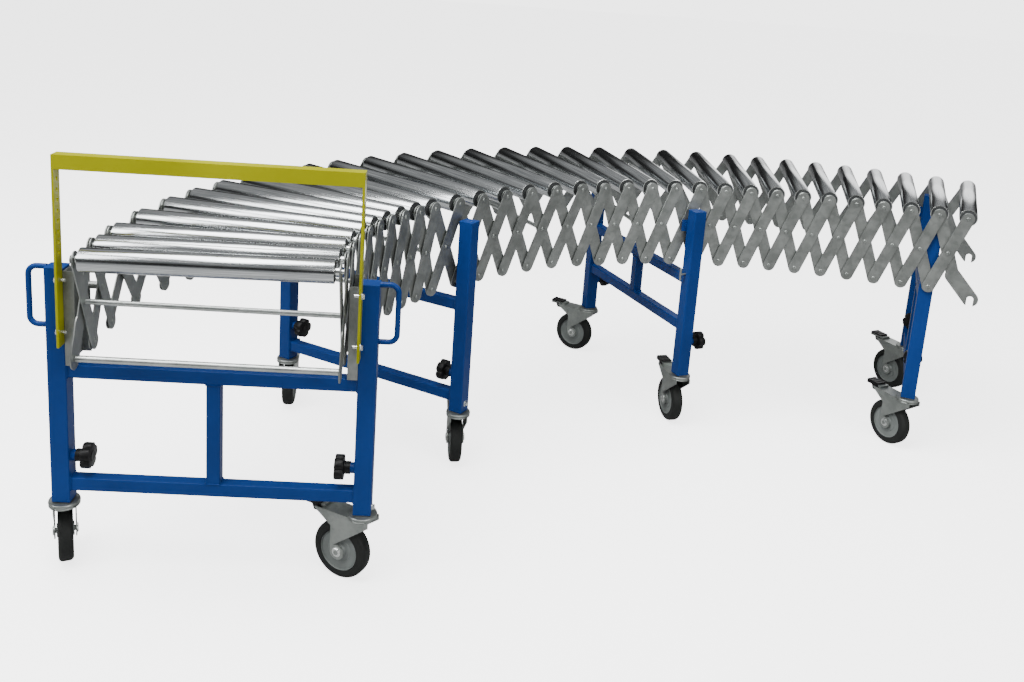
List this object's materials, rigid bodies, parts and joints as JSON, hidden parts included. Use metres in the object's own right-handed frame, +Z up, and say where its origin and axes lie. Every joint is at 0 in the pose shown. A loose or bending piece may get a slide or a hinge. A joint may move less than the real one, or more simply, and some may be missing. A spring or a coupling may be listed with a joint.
{
  "type": "expandable roller conveyor",
  "caption": "Curved lazy-tongs roller conveyor on telescopic leg frames with swivel castors and an end stop.",
  "frame": {"origin": "middle of the footprint of the whole bed, on the floor the castors stand on", "axes": "+X the long way of the bend, +Y from the end with the stop into the bend, +Z up"},
  "size_m": [2.594, 1.6891, 0.955],
  "materials": {
    "roller_steel": "bright zinc-plated steel tube",
    "zinc_steel": "galvanised, satin",
    "blue_paint": "blue powder coat, semi-gloss",
    "yellow_paint": "yellow powder coat",
    "black_plastic": "black moulded plastic",
    "castor_steel": "zinc-plated pressed steel",
    "tyre_rubber": "dark grey rubber on a grey hub"
  },
  "bodies": {
    "conveyor_frame": {"axles": "zinc_steel", "outer_links": "zinc_steel", "inner_links": "zinc_steel", "hook_plates": "zinc_steel", "cross_rods": "zinc_steel", "leg_frames": "blue_paint", "guide_channels": "zinc_steel", "clamp_knobs": "black_plastic", "end_stop": "yellow_paint"},
    "roller_01": {"roller_01": "roller_steel"},
    "roller_02": {"roller_02": "roller_steel"},
    "roller_03": {"roller_03": "roller_steel"},
    "roller_04": {"roller_04": "roller_steel"},
    "roller_05": {"roller_05": "roller_steel"},
    "roller_06": {"roller_06": "roller_steel"},
    "roller_07": {"roller_07": "roller_steel"},
    "roller_08": {"roller_08": "roller_steel"},
    "roller_09": {"roller_09": "roller_steel"},
    "roller_10": {"roller_10": "roller_steel"},
    "roller_11": {"roller_11": "roller_steel"},
    "roller_12": {"roller_12": "roller_steel"},
    "roller_13": {"roller_13": "roller_steel"},
    "roller_14": {"roller_14": "roller_steel"},
    "roller_15": {"roller_15": "roller_steel"},
    "roller_16": {"roller_16": "roller_steel"},
    "roller_17": {"roller_17": "roller_steel"},
    "roller_18": {"roller_18": "roller_steel"},
    "roller_19": {"roller_19": "roller_steel"},
    "roller_20": {"roller_20": "roller_steel"},
    "roller_21": {"roller_21": "roller_steel"},
    "roller_22": {"roller_22": "roller_steel"},
    "roller_23": {"roller_23": "roller_steel"},
    "roller_24": {"roller_24": "roller_steel"},
    "roller_25": {"roller_25": "roller_steel"},
    "roller_26": {"roller_26": "roller_steel"},
    "roller_27": {"roller_27": "roller_steel"},
    "roller_28": {"roller_28": "roller_steel"},
    "roller_29": {"roller_29": "roller_steel"},
    "roller_30": {"roller_30": "roller_steel"},
    "roller_31": {"roller_31": "roller_steel"},
    "inner_legs_1": {"inner_legs_1": "zinc_steel"},
    "castor_fork_1_left": {"castor_fork_1_left": "castor_steel"},
    "castor_wheel_1_left": {"castor_wheel_1_left": "tyre_rubber"},
    "castor_fork_1_right": {"castor_fork_1_right": "castor_steel"},
    "castor_wheel_1_right": {"castor_wheel_1_right": "tyre_rubber"},
    "inner_legs_2": {"inner_legs_2": "zinc_steel"},
    "castor_fork_2_left": {"castor_fork_2_left": "castor_steel"},
    "castor_wheel_2_left": {"castor_wheel_2_left": "tyre_rubber"},
    "castor_fork_2_right": {"castor_fork_2_right": "castor_steel"},
    "castor_wheel_2_right": {"castor_wheel_2_right": "tyre_rubber"},
    "inner_legs_3": {"inner_legs_3": "zinc_steel"},
    "castor_fork_3_left": {"castor_fork_3_left": "castor_steel"},
    "castor_wheel_3_left": {"castor_wheel_3_left": "tyre_rubber"},
    "castor_fork_3_right": {"castor_fork_3_right": "castor_steel"},
    "castor_wheel_3_right": {"castor_wheel_3_right": "tyre_rubber"},
    "inner_legs_4": {"inner_legs_4": "zinc_steel"},
    "castor_fork_4_left": {"castor_fork_4_left": "castor_steel"},
    "castor_wheel_4_left": {"castor_wheel_4_left": "tyre_rubber"},
    "castor_fork_4_right": {"castor_fork_4_right": "castor_steel"},
    "castor_wheel_4_right": {"castor_wheel_4_right": "tyre_rubber"}
  },
  "joints": [
    {"name": "leg_height_1", "type": "slide", "parent": "conveyor_frame", "child": "inner_legs_1", "axis": [0, 0, -1], "range_m": [0, 0.25]},
    {"name": "castor_swivel_1_left", "type": "hinge", "parent": "inner_legs_1", "child": "castor_fork_1_left", "pos_m": [-1.22069, -0.73083, 0.1647], "axis": [0, 0, 1], "continuous": true},
    {"name": "castor_roll_1_left", "type": "hinge", "parent": "castor_fork_1_left", "child": "castor_wheel_1_left", "pos_m": [-1.24182, -0.68551, 0.069], "axis": [-0.9063, -0.4226, 0], "continuous": true},
    {"name": "castor_swivel_1_right", "type": "hinge", "parent": "inner_legs_1", "child": "castor_fork_1_right", "pos_m": [-0.56958, -0.70177, 0.1647], "axis": [0, 0, 1], "continuous": true},
    {"name": "castor_roll_1_right", "type": "hinge", "parent": "castor_fork_1_right", "child": "castor_wheel_1_right", "pos_m": [-0.61489, -0.68064, 0.069], "axis": [-0.4226, -0.9063, 0], "continuous": true},
    {"name": "leg_height_2", "type": "slide", "parent": "conveyor_frame", "child": "inner_legs_2", "axis": [0, 0, -1], "range_m": [0, 0.25]},
    {"name": "castor_swivel_2_left", "type": "hinge", "parent": "inner_legs_2", "child": "castor_fork_2_left", "pos_m": [-0.9303, 0.11944, 0.1647], "axis": [0, 0, 1], "continuous": true},
    {"name": "castor_roll_2_left", "type": "hinge", "parent": "castor_fork_2_left", "child": "castor_wheel_2_left", "pos_m": [-0.93466, 0.16925, 0.069], "axis": [-0.9962, -0.0872, 0], "continuous": true},
    {"name": "castor_swivel_2_right", "type": "hinge", "parent": "inner_legs_2", "child": "castor_fork_2_right", "pos_m": [-0.39299, -0.16442, 0.1647], "axis": [0, 0, 1], "continuous": true},
    {"name": "castor_roll_2_right", "type": "hinge", "parent": "castor_fork_2_right", "child": "castor_wheel_2_right", "pos_m": [-0.39995, -0.11491, 0.069], "axis": [-0.9903, -0.1392, 0], "continuous": true},
    {"name": "leg_height_3", "type": "slide", "parent": "conveyor_frame", "child": "inner_legs_3", "axis": [0, 0, -1], "range_m": [0, 0.25]},
    {"name": "castor_swivel_3_left", "type": "hinge", "parent": "inner_legs_3", "child": "castor_fork_3_left", "pos_m": [0.02332, 0.75785, 0.1647], "axis": [0, 0, 1], "continuous": true},
    {"name": "castor_roll_3_left", "type": "hinge", "parent": "castor_fork_3_left", "child": "castor_wheel_3_left", "pos_m": [-0.01998, 0.78285, 0.069], "axis": [-0.5, -0.866, 0], "continuous": true},
    {"name": "castor_swivel_3_right", "type": "hinge", "parent": "inner_legs_3", "child": "castor_fork_3_right", "pos_m": [0.27376, 0.19819, 0.1647], "axis": [0, 0, 1], "continuous": true},
    {"name": "castor_roll_3_right", "type": "hinge", "parent": "castor_fork_3_right", "child": "castor_wheel_3_right", "pos_m": [0.26082, 0.24649, 0.069], "axis": [-0.9659, -0.2588, 0], "continuous": true},
    {"name": "leg_height_4", "type": "slide", "parent": "conveyor_frame", "child": "inner_legs_4", "axis": [0, 0, -1], "range_m": [0, 0.25]},
    {"name": "castor_swivel_4_left", "type": "hinge", "parent": "inner_legs_4", "child": "castor_fork_4_left", "pos_m": [1.12899, 0.58883, 0.1647], "axis": [0, 0, 1], "continuous": true},
    {"name": "castor_roll_4_left", "type": "hinge", "parent": "castor_fork_4_left", "child": "castor_wheel_4_left", "pos_m": [1.10552, 0.63298, 0.069], "axis": [-0.8829, -0.4695, 0], "continuous": true},
    {"name": "castor_swivel_4_right", "type": "hinge", "parent": "inner_legs_4", "child": "castor_fork_4_right", "pos_m": [0.96521, 0.1443, 0.1647], "axis": [0, 0, 1], "continuous": true},
    {"name": "castor_roll_4_right", "type": "hinge", "parent": "castor_fork_4_right", "child": "castor_wheel_4_right", "pos_m": [0.94173, 0.18845, 0.069], "axis": [-0.8829, -0.4695, 0], "continuous": true},
    {"name": "roller_01_spin", "type": "hinge", "parent": "conveyor_frame", "child": "roller_01", "pos_m": [-0.88129, -0.80133, 0.755], "axis": [0.9973, 0.0732, 0], "continuous": true},
    {"name": "roller_02_spin", "type": "hinge", "parent": "conveyor_frame", "child": "roller_02", "pos_m": [-0.88622, -0.71447, 0.755], "axis": [0.9992, 0.0401, 0], "continuous": true},
    {"name": "roller_03_spin", "type": "hinge", "parent": "conveyor_frame", "child": "roller_03", "pos_m": [-0.88826, -0.6275, 0.755], "axis": [1, 0.0069, 0], "continuous": true},
    {"name": "roller_04_spin", "type": "hinge", "parent": "conveyor_frame", "child": "roller_04", "pos_m": [-0.88341, -0.52761, 0.755], "axis": [0.9946, -0.1038, 0], "continuous": true},
    {"name": "roller_05_spin", "type": "hinge", "parent": "conveyor_frame", "child": "roller_05", "pos_m": [-0.86755, -0.42888, 0.755], "axis": [0.977, -0.2131, 0], "continuous": true},
    {"name": "roller_06_spin", "type": "hinge", "parent": "conveyor_frame", "child": "roller_06", "pos_m": [-0.84567, -0.34726, 0.755], "axis": [0.9527, -0.304, 0], "continuous": true},
    {"name": "roller_07_spin", "type": "hinge", "parent": "conveyor_frame", "child": "roller_07", "pos_m": [-0.81622, -0.26806, 0.755], "axis": [0.9199, -0.3922, 0], "continuous": true},
    {"name": "roller_08_spin", "type": "hinge", "parent": "conveyor_frame", "child": "roller_08", "pos_m": [-0.77946, -0.19198, 0.755], "axis": [0.8789, -0.477, 0], "continuous": true},
    {"name": "roller_09_spin", "type": "hinge", "parent": "conveyor_frame", "child": "roller_09", "pos_m": [-0.7357, -0.11969, 0.755], "axis": [0.8302, -0.5575, 0], "continuous": true},
    {"name": "roller_10_spin", "type": "hinge", "parent": "conveyor_frame", "child": "roller_10", "pos_m": [-0.68534, -0.05183, 0.755], "axis": [0.7741, -0.6331, 0], "continuous": true},
    {"name": "roller_11_spin", "type": "hinge", "parent": "conveyor_frame", "child": "roller_11", "pos_m": [-0.62335, 0.02212, 0.755], "axis": [0.7586, -0.6515, 0], "continuous": true},
    {"name": "roller_12_spin", "type": "hinge", "parent": "conveyor_frame", "child": "roller_12", "pos_m": [-0.55015, 0.10119, 0.755], "axis": [0.7079, -0.7064, 0], "continuous": true},
    {"name": "roller_13_spin", "type": "hinge", "parent": "conveyor_frame", "child": "roller_13", "pos_m": [-0.47124, 0.17456, 0.755], "axis": [0.6531, -0.7573, 0], "continuous": true},
    {"name": "roller_14_spin", "type": "hinge", "parent": "conveyor_frame", "child": "roller_14", "pos_m": [-0.38707, 0.24184, 0.755], "axis": [0.5947, -0.8039, 0], "continuous": true},
    {"name": "roller_15_spin", "type": "hinge", "parent": "conveyor_frame", "child": "roller_15", "pos_m": [-0.29811, 0.30263, 0.755], "axis": [0.533, -0.8461, 0], "continuous": true},
    {"name": "roller_16_spin", "type": "hinge", "parent": "conveyor_frame", "child": "roller_16", "pos_m": [-0.20486, 0.35662, 0.755], "axis": [0.4683, -0.8836, 0], "continuous": true},
    {"name": "roller_17_spin", "type": "hinge", "parent": "conveyor_frame", "child": "roller_17", "pos_m": [-0.11697, 0.39883, 0.755], "axis": [0.3968, -0.9179, 0], "continuous": true},
    {"name": "roller_18_spin", "type": "hinge", "parent": "conveyor_frame", "child": "roller_18", "pos_m": [-0.02601, 0.43393, 0.755], "axis": [0.3227, -0.9465, 0], "continuous": true},
    {"name": "roller_19_spin", "type": "hinge", "parent": "conveyor_frame", "child": "roller_19", "pos_m": [0.06745, 0.46171, 0.755], "axis": [0.2467, -0.9691, 0], "continuous": true},
    {"name": "roller_20_spin", "type": "hinge", "parent": "conveyor_frame", "child": "roller_20", "pos_m": [0.16281, 0.48199, 0.755], "axis": [0.169, -0.9856, 0], "continuous": true},
    {"name": "roller_21_spin", "type": "hinge", "parent": "conveyor_frame", "child": "roller_21", "pos_m": [0.25949, 0.49465, 0.755], "axis": [0.0903, -0.9959, 0], "continuous": true},
    {"name": "roller_22_spin", "type": "hinge", "parent": "conveyor_frame", "child": "roller_22", "pos_m": [0.35686, 0.49959, 0.755], "axis": [0.0111, -0.9999, 0], "continuous": true},
    {"name": "roller_23_spin", "type": "hinge", "parent": "conveyor_frame", "child": "roller_23", "pos_m": [0.45432, 0.4968, 0.755], "axis": [-0.0683, -0.9977, 0], "continuous": true},
    {"name": "roller_24_spin", "type": "hinge", "parent": "conveyor_frame", "child": "roller_24", "pos_m": [0.54197, 0.48894, 0.755], "axis": [-0.1105, -0.9939, 0], "continuous": true},
    {"name": "roller_25_spin", "type": "hinge", "parent": "conveyor_frame", "child": "roller_25", "pos_m": [0.62921, 0.47735, 0.755], "axis": [-0.1526, -0.9883, 0], "continuous": true},
    {"name": "roller_26_spin", "type": "hinge", "parent": "conveyor_frame", "child": "roller_26", "pos_m": [0.71587, 0.46208, 0.755], "axis": [-0.1944, -0.9809, 0], "continuous": true},
    {"name": "roller_27_spin", "type": "hinge", "parent": "conveyor_frame", "child": "roller_27", "pos_m": [0.80181, 0.44314, 0.755], "axis": [-0.2359, -0.9718, 0], "continuous": true},
    {"name": "roller_28_spin", "type": "hinge", "parent": "conveyor_frame", "child": "roller_28", "pos_m": [0.88687, 0.42057, 0.755], "axis": [-0.2769, -0.9609, 0], "continuous": true},
    {"name": "roller_29_spin", "type": "hinge", "parent": "conveyor_frame", "child": "roller_29", "pos_m": [0.97089, 0.39442, 0.755], "axis": [-0.3174, -0.9483, 0], "continuous": true},
    {"name": "roller_30_spin", "type": "hinge", "parent": "conveyor_frame", "child": "roller_30", "pos_m": [1.05373, 0.36472, 0.755], "axis": [-0.3574, -0.9339, 0], "continuous": true},
    {"name": "roller_31_spin", "type": "hinge", "parent": "conveyor_frame", "child": "roller_31", "pos_m": [1.13523, 0.33153, 0.755], "axis": [-0.3967, -0.9179, 0], "continuous": true}
  ]
}
